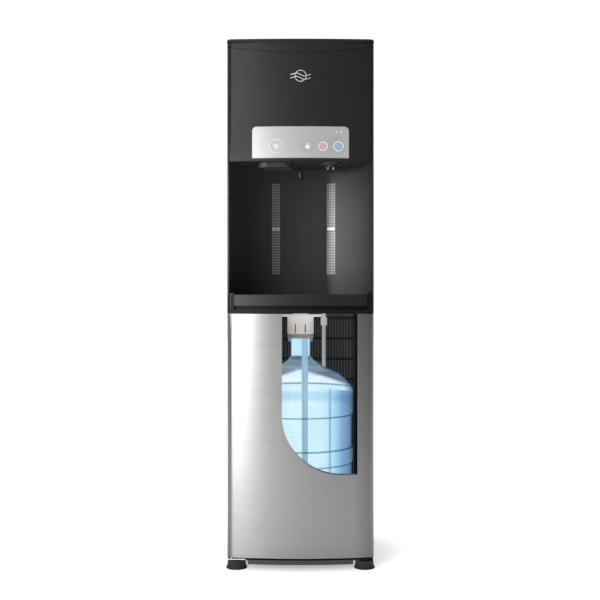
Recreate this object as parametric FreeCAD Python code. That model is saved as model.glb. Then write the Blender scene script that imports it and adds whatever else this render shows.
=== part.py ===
import FreeCAD, Part
import math
import os

os.makedirs("parts", exist_ok=True)

# Floor-standing water dispenser and ice maker with the bottle in a lower cupboard.
# Millimetres. x runs left to right, d is the depth behind the front-most plane, z is up.

# ---- overall sizes ----
DEPTH = 360.0
HEIGHT = 1266.0
HALF_W = 176.0
REAR = 350.0

# ---- bowed front, shared by the door, the ledge and the head ----
BOW_D = 2.5
BOW_R = 918.0
ROLL_R = 15.8
BOW_ANGLE = math.asin((HALF_W - ROLL_R) / (BOW_R - ROLL_R))
ROLL_X = HALF_W - ROLL_R
ROLL_D = BOW_D + BOW_R - (BOW_R - ROLL_R) * math.cos(BOW_ANGLE)

# ---- door ----
DOOR_Z0 = 30.0
DOOR_Z1 = 611.0
DOOR_BACK = 43.5
SKIN_T = 1.0
FACE_D = 47.0
PIN_X = -HALF_W + 10.0
PIN_D = 33.5
PIN_R = 3.0
PIN_CLEAR = 0.05
HEEL_R = 10.0
NOTCH_L = -44.3
NOTCH_R = 135.6
NOTCH_Z = 228.0
NOTCH_CORNER = 142.7

# ---- cabinet ----
PANEL_T = 1.5
INNER_W = HALF_W - PANEL_T - 0.1
PAN_Z = 20.0
PAN_T = 2.0
CUPBOARD_W = 158.0
CUPBOARD_FLOOR = 68.0
DECK_Z = 622.0
DECK_T = 3.0
FOOT_X = 154.0
FOOT_D_FRONT = 40.0
FOOT_D_REAR = 325.0
FOOT_R = 25.2

# ---- bottle and its probe ----
BOTTLE_D = 190.0
NECK_R = 27.5
BODY_R = 137.0
HOSE_R = 5.0
HOSE_X = 63.0
RISER_X = 148.0
HOSE_D = 326.0
PROBE_X = 11.0
PUMP_X = 128.0

# ---- condenser ----
COIL_D = 354.0
COIL_R = 2.5
COIL_PITCH = 55.4
COIL_TOP = 594.0
COIL_HALF = 140.0
COIL_RUNS = 10
WIRE_R = 0.8
WIRE_PITCH = 8.06
WIRE_COUNT = 37

# ---- ledge, tray and alcove ----
LEDGE_Z0 = 612.0
TRAY_Z0 = 630.0
LEDGE_Z1 = 652.0
CAP_X = 159.3
CAP_Z = 661.0
GRID_X = 109.0
GRID_D0 = 21.0
GRID_D1 = 150.0
ALCOVE_A = 171.0
ALCOVE_B = 178.0
ALCOVE_D = 22.0
ALCOVE_T = 2.4
CEILING_Z = 978.0
STRIP_Z0 = 709.5
STRIP_Z1 = 942.5

# ---- head ----
FASCIA_Z0 = 975.0
SEAM_MID = 1232.0
SEAM_R = 965.0
CROWN_MID = 1254.5
CROWN_R = 3459.0
EAR_X = 168.0
COVER_D = 6.0
COVER_R = 2560.0
FASCIA_T = 3.0
PLATE_Z0 = 981.4
PLATE_Z1 = 1056.0
PLATE_HALF = 115.0
BUTTON_Z = 1009.0
UPPER_DECK_Z = 985.0
CHUTE_X = -61.0
CHUTE_D = 70.0
NOZZLE_X = 74.5
NOZZLE_D = 70.0


# ---- helpers ----
def at(x, d, z):
    return FreeCAD.Vector(x, d - DEPTH / 2, z)


def box(x0, x1, d0, d1, z0, z1):
    return Part.makeBox(x1 - x0, d1 - d0, z1 - z0, at(x0, d0, z0))


def side_box(side, x0, x1, d0, d1, z0, z1):
    return box(min(side * x0, side * x1), max(side * x0, side * x1), d0, d1, z0, z1)


def post(r, x, d, z0, z1):
    return Part.makeCylinder(r, z1 - z0, at(x, d, z0))


def rod_x(r, x0, x1, d, z):
    return Part.makeCylinder(r, x1 - x0, at(x0, d, z), FreeCAD.Vector(1, 0, 0))


def rod_d(r, x, d0, d1, z):
    return Part.makeCylinder(r, d1 - d0, at(x, d0, z), FreeCAD.Vector(0, 1, 0))


def ring(r_out, r_in, x, d, z0, z1):
    return post(r_out, x, d, z0, z1).cut(post(r_in, x, d, z0, z1))


def join(shapes):
    whole = shapes[0].multiFuse(shapes[1:])
    return whole.removeSplitter()


def export(name, shape):
    shape.exportStep("parts/" + name + ".step")


def turned(points, x, d):
    """Solid of revolution about a vertical line, from (radius, z) points."""
    corners = [at(x + r, d, z) for r, z in points]
    face = Part.Face(Part.makePolygon(corners + corners[:1]))
    return face.revolve(at(x, d, 0), FreeCAD.Vector(0, 0, 1), 360)


def bowed(inset, back, z0, z1):
    """Block with the bowed front, set in all round by inset and ending at depth back."""
    half = HALF_W - inset
    roll = ROLL_R - inset
    bow = BOW_R - inset
    sin_a = math.sin(BOW_ANGLE)
    cos_a = math.cos(BOW_ANGLE)
    mid_a = math.radians(45) + BOW_ANGLE / 2
    centre_d = BOW_D + BOW_R
    tangent_x = bow * sin_a
    tangent_d = centre_d - bow * cos_a
    mid_x = ROLL_X + roll * math.sin(mid_a)
    mid_d = ROLL_D - roll * math.cos(mid_a)
    left = [at(-half, ROLL_D, z0), at(-mid_x, mid_d, z0), at(-tangent_x, tangent_d, z0)]
    right = [at(tangent_x, tangent_d, z0), at(mid_x, mid_d, z0), at(half, ROLL_D, z0)]
    front = [left[2], at(0, BOW_D + inset, z0), right[0]]
    edges = [Part.makeLine(at(-half, back, z0), left[0])]
    for arc in (left, front, right):
        edges.append(Part.Arc(arc[0], arc[1], arc[2]).toShape())
    edges.append(Part.makeLine(right[2], at(half, back, z0)))
    edges.append(Part.makeLine(at(half, back, z0), at(-half, back, z0)))
    face = Part.Face(Part.Wire(edges))
    return face.extrude(FreeCAD.Vector(0, 0, z1 - z0))


def bowed_shell(inset, thick, back, z0, z1):
    return bowed(inset, back, z0, z1).cut(bowed(inset + thick, back + 1, z0, z1))


def bow_depth(x):
    return BOW_D + BOW_R - math.sqrt(BOW_R ** 2 - x ** 2)


def half_ellipse(a, b, z0, z1):
    """Half-ellipse block behind the alcove's mouth plane."""
    centre = at(0, ALCOVE_D, z0)
    if b >= a:
        curve = Part.Ellipse(centre + FreeCAD.Vector(0, b, 0), centre + FreeCAD.Vector(-a, 0, 0), centre)
    else:
        curve = Part.Ellipse(centre + FreeCAD.Vector(a, 0, 0), centre + FreeCAD.Vector(0, b, 0), centre)
    disc = Part.Face(Part.Wire(curve.toShape()))
    block = disc.extrude(FreeCAD.Vector(0, 0, z1 - z0))
    return block.common(box(-a - 1, a + 1, ALCOVE_D, ALCOVE_D + b + 1, z0, z1))


def rounded_block(x, d, half_x, half_d, r, z0, z1):
    block = box(x - half_x, x + half_x, d - half_d, d + half_d, z0, z1)
    edges = [e for e in block.Edges if abs(e.tangentAt(0).z) > 0.9]
    return block.makeFillet(r, edges)


def pipe(points, bend, r):
    """Round rod along straight runs joined by equal bends."""
    edges = []
    start = points[0]
    for i in range(1, len(points) - 1):
        to_prev = (points[i - 1] - points[i]).normalize()
        to_next = (points[i + 1] - points[i]).normalize()
        half = math.acos(max(-1.0, min(1.0, to_prev.dot(to_next)))) / 2
        reach = bend / math.tan(half)
        enter = points[i] + to_prev * reach
        leave = points[i] + to_next * reach
        inward = (to_prev + to_next).normalize()
        middle = points[i] + inward * (bend / math.sin(half) - bend)
        if (enter - start).Length > 0.01:
            edges.append(Part.makeLine(start, enter))
        edges.append(Part.Arc(enter, middle, leave).toShape())
        start = leave
    if (points[-1] - start).Length > 0.01:
        edges.append(Part.makeLine(start, points[-1]))
    spine = Part.Wire(edges)
    first = points[1] - points[0]
    section = Part.Wire(Part.makeCircle(r, points[0], first))
    return spine.makePipeShell([section], True, False)


def front_recess(z0, z1):
    """Space in front of the ledge that the tray front fills."""
    return box(-CAP_X, CAP_X, -5, 44, z0, z1).cut(bowed(14.0, 45, z0, z1))


def notch(grow):
    """Viewing cut-out in the door: open at the top, one large round corner."""
    x0 = NOTCH_L - grow
    x1 = NOTCH_R + grow
    z0 = NOTCH_Z - grow
    corner_x = NOTCH_L + NOTCH_CORNER
    corner_z = NOTCH_Z + NOTCH_CORNER
    top = DOOR_Z1 + 10
    disc = rod_d(NOTCH_CORNER + grow, corner_x, -5, 60, corner_z)
    disc = disc.common(box(x0 - 1, corner_x + 1, -5, 60, z0 - 1, corner_z + 1))
    upper = box(x0, x1, -5, 60, corner_z, top)
    lower = box(corner_x, x1, -5, 60, z0, corner_z + 1)
    return join([disc, upper, lower])


def heel(z0, z1):
    """Corner cleared away so that the hinge side turns about the pin."""
    corner = box(-HALF_W - 1, PIN_X, PIN_D, DOOR_BACK + 1, z0, z1)
    return corner.cut(post(HEEL_R, PIN_X, PIN_D, z0, z1))


def seam_drum(r):
    return rod_d(r, 0, -10, 60, SEAM_MID + SEAM_R)


def crown_drum(r):
    return rod_d(r, 0, -10, 60, CROWN_MID + CROWN_R)


def on_bow(x, z, shape):
    """Turn a shape drawn about the depth axis at x = 0 to stand square on the bow at x."""
    angle = math.degrees(math.asin(x / BOW_R))
    placed = shape.copy()
    placed.rotate(FreeCAD.Vector(0, 0, 0), FreeCAD.Vector(0, 0, 1), angle)
    placed.translate(at(x, bow_depth(x), z))
    return placed


def along(r, d0, d1):
    """Cylinder along the depth axis from the origin plane of on_bow."""
    return Part.makeCylinder(r, d1 - d0, FreeCAD.Vector(0, d0, 0), FreeCAD.Vector(0, 1, 0))


# ---- base, feet and cabinet sheets ----
feet = []
studs = []
stud_holes = []
for foot_x in (-FOOT_X, FOOT_X):
    for foot_d in (FOOT_D_FRONT, FOOT_D_REAR):
        pad = turned([(0, 0), (FOOT_R, 0), (FOOT_R, 2), (22.5, 7), (21.5, 19.6), (0, 19.6)], foot_x, foot_d)
        pad = pad.cut(post(5.0, foot_x, foot_d, 10, PAN_Z))
        feet.append(pad.cut(post(9.0, foot_x, foot_d, 15.6, PAN_Z)))
        stud = post(5.0, foot_x, foot_d, 10, PAN_Z + PAN_T)
        nut = post(9.0, foot_x, foot_d, 15.6, PAN_Z)
        studs.append(stud.fuse(nut))
        stud_holes.append(post(5.0, foot_x, foot_d, 15, 30))
export("foot_pads", Part.makeCompound(feet))
export("foot_studs", Part.makeCompound(studs))

pan = box(-HALF_W, HALF_W, FACE_D, REAR, PAN_Z, PAN_Z + PAN_T)
pan_front = bowed(14.0, FACE_D, PAN_Z, PAN_Z + PAN_T)
lip = bowed_shell(14.0, 2.5, 40, 11.2, PAN_Z).common(box(-126, 126, 0, 30, 11, PAN_Z))
kick = box(-INNER_W, INNER_W, 50, 52, PAN_Z, 63.8)
back_flange = box(-INNER_W, INNER_W, 334, 336, PAN_Z, 63.8)
side_flanges = [side_box(s, INNER_W - 2, INNER_W, 52, 334, PAN_Z, 50) for s in (-1, 1)]
frame = join([pan, pan_front, lip, kick, back_flange] + side_flanges)
for hole in stud_holes:
    frame = frame.cut(hole)

skin_x0 = HALF_W - PANEL_T
export("base_frame", frame)
export("left_side_panel", box(-HALF_W, -skin_x0, FACE_D, REAR, PAN_Z + PAN_T, 1254))
export("right_side_panel", box(skin_x0, HALF_W, FACE_D, REAR, PAN_Z + PAN_T, 1254))

# ---- cupboard liner, deck and rear frame ----
shell = box(-CUPBOARD_W - 2, CUPBOARD_W + 2, FACE_D, 336, 64, DECK_Z)
shell = shell.cut(box(-CUPBOARD_W, CUPBOARD_W, FACE_D - 1, 337, CUPBOARD_FLOOR, DECK_Z + 1))
flange = box(-INNER_W, INNER_W, FACE_D, FACE_D + 2.5, 64, 611.8)
flange = flange.cut(box(-CUPBOARD_W, CUPBOARD_W, FACE_D - 1, FACE_D + 4, CUPBOARD_FLOOR, 612))
seat = ring(128, 122, 0, BOTTLE_D, CUPBOARD_FLOOR - 1, CUPBOARD_FLOOR + 1.8)
liner = join([shell, flange, seat])
liner = liner.cut(box(-HALF_W, HALF_W, 0, 62, 611.8, DECK_Z + 1))
export("compartment_liner", liner)

hose_places = [HOSE_X, RISER_X]
deck = box(-INNER_W, INNER_W, 62, 347, DECK_Z, DECK_Z + DECK_T)
for hole_x in hose_places:
    deck = deck.cut(post(5.5, hole_x, HOSE_D, DECK_Z - 1, DECK_Z + 5))
deck = deck.cut(post(4.5, PROBE_X, BOTTLE_D, DECK_Z - 1, DECK_Z + 5))
export("mid_deck", deck)

rail_z0 = PAN_Z + PAN_T
rail_z1 = DECK_Z - 0.1
rails = []
for side in (-1, 1):
    rails.append(side_box(side, 144.5, INNER_W, 337, 345, rail_z0, rail_z1))
    rails.append(side_box(side, INNER_W - 3, INNER_W, 343, DEPTH, rail_z0, rail_z1))
rails.append(box(-150, 150, 337, 345, 608, rail_z1))
rails.append(box(-150, 150, 337, 345, rail_z0, 66))
back_sheet = box(-INNER_W + 1, INNER_W - 1, DEPTH - 1.2, DEPTH, rail_z0, rail_z1)
for row in range(6):
    for column in range(4):
        slot_x = -105 + column * 70
        slot_z = 36 + row * 16
        back_sheet = back_sheet.cut(box(slot_x - 27, slot_x + 27, DEPTH - 2, DEPTH + 1, slot_z, slot_z + 6))
rails.append(back_sheet)
export("rear_frame", join(rails))

rear = box(-INNER_W, INNER_W, 347.2, REAR, DECK_Z, 1254)
for row in range(12):
    for column in range(3):
        slot_x = -95 + column * 95
        slot_z = 690 + row * 16
        rear = rear.cut(box(slot_x - 36, slot_x + 36, 340, 360, slot_z, slot_z + 6))
rear = rear.cut(rod_d(8.0, -120, 340, 360, 650))
screw_places = []
for screw_x in (-165, 165):
    for screw_z in (635, 940, 1240):
        screw_places.append((screw_x, screw_z))
        rear = rear.cut(rod_d(2.0, screw_x, 340, 360, screw_z))
export("rear_panel", rear)
screws = []
for screw_x, screw_z in screw_places:
    shank = rod_d(2.0, screw_x, 341, REAR + 0.5, screw_z)
    head = rod_d(4.2, screw_x, REAR, REAR + 2.6, screw_z)
    screw = shank.fuse(head)
    screws.append(screw.cut(box(screw_x - 3, screw_x + 3, REAR + 1.4, REAR + 3, screw_z - 0.5, screw_z + 0.5)))
export("panel_screws", Part.makeCompound(screws))
gland_body = rod_d(8.0, -120, 344, 356, 650).fuse(rod_d(12.0, -120, REAR, 353, 650))
export("power_gland", gland_body.cut(rod_d(4.0, -120, 340, 360, 650)))

# ---- condenser on the back ----
run_points = []
for run in range(COIL_RUNS):
    run_z = COIL_TOP - run * COIL_PITCH
    side = 1 if run % 2 == 0 else -1
    bulge = COIL_HALF + COIL_PITCH / 2
    if run == 0:
        run_points.append(at(-side * COIL_HALF, COIL_D, run_z))
    else:
        run_points.append(at(-side * bulge, COIL_D, run_z))
    if run == COIL_RUNS - 1:
        run_points.append(at(side * COIL_HALF, COIL_D, run_z))
    else:
        run_points.append(at(side * bulge, COIL_D, run_z))
export("condenser_coil", pipe(run_points, COIL_PITCH / 2, COIL_R))

wire_d = COIL_D + COIL_R + WIRE_R + 0.05
wire_top = COIL_TOP + 12
wire_low = COIL_TOP - (COIL_RUNS - 1) * COIL_PITCH - 12
wires = []
for index in range(WIRE_COUNT):
    wire_x = (index - (WIRE_COUNT - 1) / 2) * WIRE_PITCH
    wires.append(post(WIRE_R, wire_x, wire_d, wire_low, wire_top))
cross_reach = (WIRE_COUNT - 1) / 2 * WIRE_PITCH + 2
for cross_z in (wire_low + 2, (wire_low + wire_top) / 2, wire_top - 2):
    wires.append(rod_x(1.0, -cross_reach, cross_reach, wire_d, cross_z))
export("condenser_wires", wires[0].multiFuse(wires[1:]))

# ---- bottle, probe and water line ----
outer = [(0, 76), (92, 76), (104, 70), (128, 70), (136, 80), (BODY_R, 90), (BODY_R, 146), (133, 150)]
outer += [(133, 231), (BODY_R, 235), (BODY_R, 271), (133, 275), (133, 353), (BODY_R, 357)]
outer += [(BODY_R, 416), (131, 427), (116, 443), (100, 456), (61, 473), (36, 490), (NECK_R, 502)]
outer += [(NECK_R, 538), (33.7, 538), (33.7, 546.8), (NECK_R, 546.8), (NECK_R, 556)]
inner = [(25.7, 556), (25.7, 501), (34.6, 488.4), (60.2, 471.3), (98.9, 454.5), (114.8, 441.8)]
inner += [(129.3, 426.2), (135.2, 415.5), (135.2, 357.6), (131.2, 353.6), (131.2, 274.4)]
inner += [(135.2, 270.4), (135.2, 235.6), (131.2, 231.6), (131.2, 149.4), (135.2, 145.4)]
inner += [(135.2, 90.5), (134.4, 81), (127.4, 71.8), (104.6, 71.8), (92.6, 77.8), (0, 77.8)]
bottle = turned(outer + inner, 0, BOTTLE_D)
export("bottle", bottle)

band = ring(33.2, 27.6, 0, BOTTLE_D, 546.9, 557.9)
export("collar_seal", band)

collar = post(33.6, 0, BOTTLE_D, 558, 602)
for slot_x in (-13, 13):
    slot = box(slot_x - 3, slot_x + 3, BOTTLE_D - 40, BOTTLE_D - 26, 561, 583)
    collar = collar.cut(slot)
collar_flange = rounded_block(0, BOTTLE_D, 56.7, 44, 12, 602, 607.5)
boss = post(20, 0, BOTTLE_D, 607, DECK_Z)
collar = join([collar, collar_flange, boss])
collar = collar.cut(post(8.0, PROBE_X, BOTTLE_D, 550, 590))
collar = collar.cut(post(4.5, PROBE_X, BOTTLE_D, 589, 630))
export("probe_collar", collar)

tube = ring(8.0, 6.2, PROBE_X, BOTTLE_D, 86, 590)
tube = tube.cut(box(PROBE_X - 20, PROBE_X + 20, BOTTLE_D - 3, BOTTLE_D + 3, 80, 98))
export("dip_tube", tube)

line_points = [at(PROBE_X, BOTTLE_D, 592), at(PROBE_X, BOTTLE_D, 636)]
line_points += [at(HOSE_X, HOSE_D, 636), at(HOSE_X, HOSE_D, 628.2)]
suction = pipe(line_points, 7.0, 4.5)
export("suction_line", suction)

nut = post(9.3, HOSE_X, HOSE_D, 576.5, 597)
nut = nut.common(box(HOSE_X - 8.6, HOSE_X + 8.6, HOSE_D - 20, HOSE_D + 20, 570, 600))
stem = post(5.5, HOSE_X, HOSE_D, 596, 628)
export("hose_fitting", nut.fuse(stem).removeSplitter())

hose_points = [at(HOSE_X, HOSE_D, 576.4), at(HOSE_X, HOSE_D, 96), at(PUMP_X - 26.1, HOSE_D, 96)]
export("bottle_hose", pipe(hose_points, 18.0, HOSE_R))
export("riser_hose", post(HOSE_R, RISER_X, HOSE_D, 133.1, 642))

pump = rounded_block(PUMP_X, 318, 26, 16, 4, CUPBOARD_FLOOR, 118)
motor = rod_x(13, PUMP_X - 19, PUMP_X + 19, 318, 92)
pump_top = post(5.4, RISER_X, HOSE_D, 117, 133)
export("water_pump", join([pump, motor, pump_top]))

# ---- ledge housing ----
ledge = join([
    bowed(0, FACE_D - 0.1, LEDGE_Z0, LEDGE_Z1),
    box(-INNER_W, INNER_W, 44, 62, LEDGE_Z0, LEDGE_Z1),
    box(-INNER_W, INNER_W, 60, 170, DECK_Z + DECK_T, LEDGE_Z1),
    bowed(0, FACE_D - 0.1, LEDGE_Z1 - 1, CAP_Z).cut(box(-CAP_X, CAP_X, -5, 60, LEDGE_Z1 - 2, CAP_Z + 1)),
])
groove = box(-CAP_X, CAP_X, -5, 44, 621.5, TRAY_Z0).cut(bowed(9.0, 45, 621, TRAY_Z0))
ledge = ledge.cut(groove)
ledge = ledge.cut(front_recess(TRAY_Z0, CAP_Z))
tray_pocket = box(-GRID_X - 5.5, GRID_X + 5.5, -5, GRID_D1 + 3.5, TRAY_Z0 + 0.3, CAP_Z)
ledge = ledge.cut(tray_pocket)
for side in (-1, 1):
    x0 = min(side * 118, side * 168)
    ledge = ledge.cut(box(x0, x0 + 50, 66, 166, DECK_Z, LEDGE_Z1 - 3))
plate_front = box(-INNER_W, -132, PIN_D - 9, 60, LEDGE_Z0, LEDGE_Z0 + 2.5)
ledge = ledge.cut(plate_front)
export("ledge_housing", ledge)

upper_pin = post(PIN_R, PIN_X, PIN_D, DOOR_Z1 - 16, LEDGE_Z0 + 1)
upper_hinge = plate_front.fuse(upper_pin)
lower_plate = box(-INNER_W, -132, PIN_D - 9, 46, PAN_Z + PAN_T, PAN_Z + PAN_T + 2.5)
lower_pin = post(PIN_R, PIN_X, PIN_D, PAN_Z + PAN_T + 1, DOOR_Z0 + 15)
lower_hinge = lower_plate.fuse(lower_pin)
export("hinge_brackets", Part.makeCompound([upper_hinge, lower_hinge]))

# ---- door ----
skin = bowed(0, DOOR_BACK, DOOR_Z0, DOOR_Z1)
skin = skin.cut(bowed(SKIN_T, DOOR_BACK + 1, DOOR_Z0 + SKIN_T, DOOR_Z1 - SKIN_T))
skin = skin.cut(notch(0))
skin = skin.cut(heel(DOOR_Z0 - 1, DOOR_Z1 + 1))
bush_holes = join([
    post(7.0, PIN_X, PIN_D, DOOR_Z0 - 1, DOOR_Z0 + 16),
    post(7.0, PIN_X, PIN_D, DOOR_Z1 - 17, DOOR_Z1 + 1),
])
skin = skin.cut(bush_holes)
export("door_skin", skin)

liner_z0 = DOOR_Z0 + SKIN_T
liner_z1 = DOOR_Z1 - SKIN_T
door_core = bowed(SKIN_T, DOOR_BACK, liner_z0, liner_z1).cut(notch(3.0))
pockets = box(-HALF_W + 27, HALF_W - 9, 0, DOOR_BACK - 3, liner_z0 + 4, liner_z1 - 4)
pockets = pockets.cut(notch(7.0))
for rib_z in (140, 260, 380, 500):
    pockets = pockets.cut(box(-HALF_W, HALF_W, -1, DOOR_BACK, rib_z - 1.5, rib_z + 1.5))
door_core = door_core.cut(pockets)
door_core = door_core.cut(heel(liner_z0 - 1, liner_z1 + 1))
door_core = door_core.cut(bush_holes)
export("door_liner", door_core)

gasket = box(-HALF_W + 11, HALF_W - 7, DOOR_BACK, FACE_D - 0.3, 70, 608)
gasket = gasket.cut(box(-HALF_W + 20, HALF_W - 15.5, DOOR_BACK - 1, FACE_D, 79, 599))
gasket = gasket.cut(notch(7.0))
gasket = gasket.cut(box(NOTCH_L - 7, NOTCH_R + 7, 0, FACE_D + 1, 590, 615))
export("door_gasket", gasket)

bushes = []
for z0, z1 in ((DOOR_Z0 - 2, DOOR_Z0 + 16), (DOOR_Z1 - 17, DOOR_Z1 + 0.5)):
    sleeve = post(7.0, PIN_X, PIN_D, z0, z1)
    bushes.append(sleeve.cut(post(PIN_R + PIN_CLEAR, PIN_X, PIN_D, z0 - 1, z1 + 1)))
export("door_bushes", Part.makeCompound(bushes))

# ---- drip tray and grid ----
tray_front = bowed(-BOW_D, 45, TRAY_Z0 + 0.4, 657.5).cut(bowed(10.0, 46, TRAY_Z0, 658))
tray_front = tray_front.common(box(-158.5, 158.5, -1, 40, TRAY_Z0, 660))
tray_edge = [e for e in tray_front.Edges if e.BoundBox.ZMin > 657 and e.BoundBox.YMin < bow_depth(60) - DEPTH / 2]
tray_front = tray_front.makeChamfer(1.6, tray_edge)
bridge = box(-112, 112, 9, 20, 631, 645)
basin = box(-GRID_X - 3, GRID_X + 3, 18, GRID_D1 + 2, 631, 651.6)
basin = basin.cut(box(-GRID_X - 0.5, GRID_X + 0.5, 20.5, GRID_D1 - 0.5, 633.5, 653))
drip_tray = join([tray_front, bridge, basin])
export("drip_tray", drip_tray)

grid = box(-GRID_X, GRID_X, GRID_D0, GRID_D1, 651.9, 654.4)
grid = grid.fuse(box(-GRID_X, -GRID_X + 3, GRID_D0, GRID_D1 - 1, 650.7, 652))
grid = grid.fuse(box(GRID_X - 3, GRID_X, GRID_D0, GRID_D1 - 1, 650.7, 652))
for column in range(9):
    for row in range(2):
        slot_x = -96 + column * 24
        slot_d = 54 + row * 62
        grid = grid.cut(rounded_block(slot_x, slot_d, 6, 27, 5.9, 645, 656))
export("drip_grid", grid)

# ---- alcove ----
outer_wall = half_ellipse(ALCOVE_A + ALCOVE_T, ALCOVE_B + ALCOVE_T, LEDGE_Z1, CEILING_Z + 2.5)
inner_wall = half_ellipse(ALCOVE_A, ALCOVE_B, LEDGE_Z1 + 3, CEILING_Z)
front_ceiling = bowed(4.0, FACE_D - 0.1, CEILING_Z, CEILING_Z + 2.5)
strips = bowed(0, FACE_D - 0.1, CAP_Z, FASCIA_Z0)
strips = strips.cut(box(-ALCOVE_A, ALCOVE_A, -5, 60, CAP_Z - 1, FASCIA_Z0 + 1))
plinth = half_ellipse(ALCOVE_A, ALCOVE_B, LEDGE_Z1 + 3, CAP_Z)
plinth = plinth.cut(half_ellipse(ALCOVE_A - 4, ALCOVE_B - 4, LEDGE_Z1 + 3, CAP_Z))
alcove = join([outer_wall.cut(inner_wall), front_ceiling, strips, plinth])
alcove = alcove.cut(ledge)
alcove = alcove.cut(front_recess(LEDGE_Z1 - 1, CAP_Z + 1))
alcove = alcove.cut(tray_pocket.common(box(-HALF_W, HALF_W, -5, 170, LEDGE_Z1 - 1, LEDGE_Z1 + 3.1)))
alcove = alcove.cut(rounded_block(CHUTE_X, CHUTE_D, 42, 30, 24, CEILING_Z - 1, CEILING_Z + 3))
alcove = alcove.cut(post(14.2, NOZZLE_X, NOZZLE_D, CEILING_Z - 1, CEILING_Z + 3))


def wall_inlay(x0, x1, z0, z1, proud, sunk):
    """Curved piece let into the alcove's back wall."""
    block = half_ellipse(ALCOVE_A + sunk, ALCOVE_B + sunk, z0, z1)
    block = block.cut(half_ellipse(ALCOVE_A - proud, ALCOVE_B - proud, z0 - 1, z1 + 1))
    return block.common(box(x0, x1, 100, 230, z0, z1))


ice_strip = wall_inlay(-73.3, -52.0, STRIP_Z0, STRIP_Z1, 0.5, 1.2)
water_strip = wall_inlay(66.6, 88.6, STRIP_Z0, STRIP_Z1, 0.5, 1.2)
lamp = wall_inlay(-7.5, 7.5, 955.5, 975.5, 1.2, 4.0)
export("ice_light_strip", ice_strip)
export("water_light_strip", water_strip)
export("night_light", lamp)
for inlay in (ice_strip, water_strip, lamp):
    alcove = alcove.cut(inlay)

# ---- head covers ----
fascia = bowed_shell(0, FASCIA_T, FACE_D - 0.1, FASCIA_Z0, 1252)
fascia = fascia.fuse(bowed_shell(0, 11.0, FACE_D - 0.1, FASCIA_Z0, FASCIA_Z0 + 2.6))
fascia = fascia.cut(seam_drum(SEAM_R))
alcove = alcove.cut(fascia)
export("alcove_liner", alcove)

header = bowed_shell(0, FASCIA_T, FACE_D - 0.1, SEAM_MID - 1, 1262)
header = header.common(seam_drum(SEAM_R - 0.9))
header = header.cut(crown_drum(CROWN_R))
header = header.common(box(-EAR_X, EAR_X, -5, 60, 1200, 1270))
export("header_panel", header)

cover = box(-HALF_W, HALF_W, COVER_D - 1, REAR, 1254.1, HEIGHT)
cover = cover.common(post(COVER_R, 0, COVER_D + COVER_R, 1200, 1300))
front_corners = []
for edge in cover.Edges:
    if edge.BoundBox.ZLength > 10 and edge.BoundBox.YMax < -100:
        front_corners.append(edge)
cover = cover.makeFillet(12.0, front_corners)
top_edges = [e for e in cover.Edges if e.BoundBox.ZMin > HEIGHT - 0.1]
cover = cover.makeFillet(3.5, top_edges)
cover = cover.cut(box(-INNER_W + 1, INNER_W - 1, 15, REAR - 5, 1250, HEIGHT - 3))
below_crown = box(-HALF_W - 1, HALF_W + 1, -5, 50, 1200, HEIGHT).cut(crown_drum(CROWN_R - 0.5))
cover = cover.cut(below_crown)
ears = bowed_shell(0, FASCIA_T, FACE_D - 0.1, 1249, 1261)
ears = ears.cut(box(-EAR_X - 0.3, EAR_X + 0.3, -5, 60, 1240, 1270))
ear_line = bowed_shell(-1, 1.7, FACE_D, 1258.7, 1259.3)
cover = join([cover, ears.cut(ear_line)])
cover = cover.cut(box(-INNER_W - 1, INNER_W + 1, REAR - 3, REAR + 1, 1250, 1254.2))
export("top_cover", cover)

# ---- control plate, buttons, badge ----
plate = bowed_shell(-1.0, 1.0, FACE_D - 5, PLATE_Z0, PLATE_Z1)
plate_mask = box(-PLATE_HALF, PLATE_HALF, -5, 30, PLATE_Z0, PLATE_Z1)
mask_edges = []
for edge in plate_mask.Edges:
    middle = edge.BoundBox.Center
    if edge.BoundBox.YLength > 10 and middle.z > PLATE_Z1 - 1:
        mask_edges.append(edge)
plate = plate.common(plate_mask.makeFillet(10.0, mask_edges))

BUTTONS = {
    "ice_button": (-58.0, 14.0),
    "lock_button": (16.6, 13.0),
    "hot_button": (53.8, 11.8),
    "cold_button": (91.0, 12.7),
}
for name, (button_x, button_r) in BUTTONS.items():
    cap = along(button_r, -2.3, 4.6)
    rim = along(button_r + 1.6, 4.6, 6.0)
    stem = along(3.0, 6.0, 13.0)
    dish = along(button_r - 3.0, -3.0, -1.9)
    button = on_bow(button_x, BUTTON_Z, join([cap, rim, stem]).cut(dish))
    export(name, button)
    hole = on_bow(button_x, BUTTON_Z, along(button_r + 0.3, -4, 8))
    plate = plate.cut(hole)
    fascia = fascia.cut(hole)

lenses = []
for lens_x in (86.0, 96.2):
    lens = on_bow(lens_x, 1043.5, along(1.9, -1.2, 3.4))
    lenses.append(lens)
    plate = plate.cut(lens)
    fascia = fascia.cut(lens)
export("indicator_lenses", Part.makeCompound(lenses))
export("control_plate", plate)
export("front_fascia", fascia)

badge_ring = Part.makeCylinder(14.0, 20, at(0, -5, 1176), FreeCAD.Vector(0, 1, 0))
badge_ring = badge_ring.cut(Part.makeCylinder(12.4, 20, at(0, -5, 1176), FreeCAD.Vector(0, 1, 0)))
badge_parts = [badge_ring]
for offset in (-1, 1):
    wave = [at(-24, -5, 1176 + offset * 4), at(-8, -5, 1180 + offset * 4)]
    wave += [at(8, -5, 1172 + offset * 4), at(24, -5, 1176 + offset * 4)]
    wave += [at(24, -5, 1174 + offset * 4), at(8, -5, 1170 + offset * 4)]
    wave += [at(-8, -5, 1178 + offset * 4), at(-24, -5, 1174 + offset * 4)]
    face = Part.Face(Part.makePolygon(wave + wave[:1]))
    badge_parts.append(face.extrude(FreeCAD.Vector(0, 20, 0)))
badge = join(badge_parts).common(bowed_shell(-0.7, 0.7, FACE_D, 1140, 1210))
export("emblem", badge)

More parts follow.
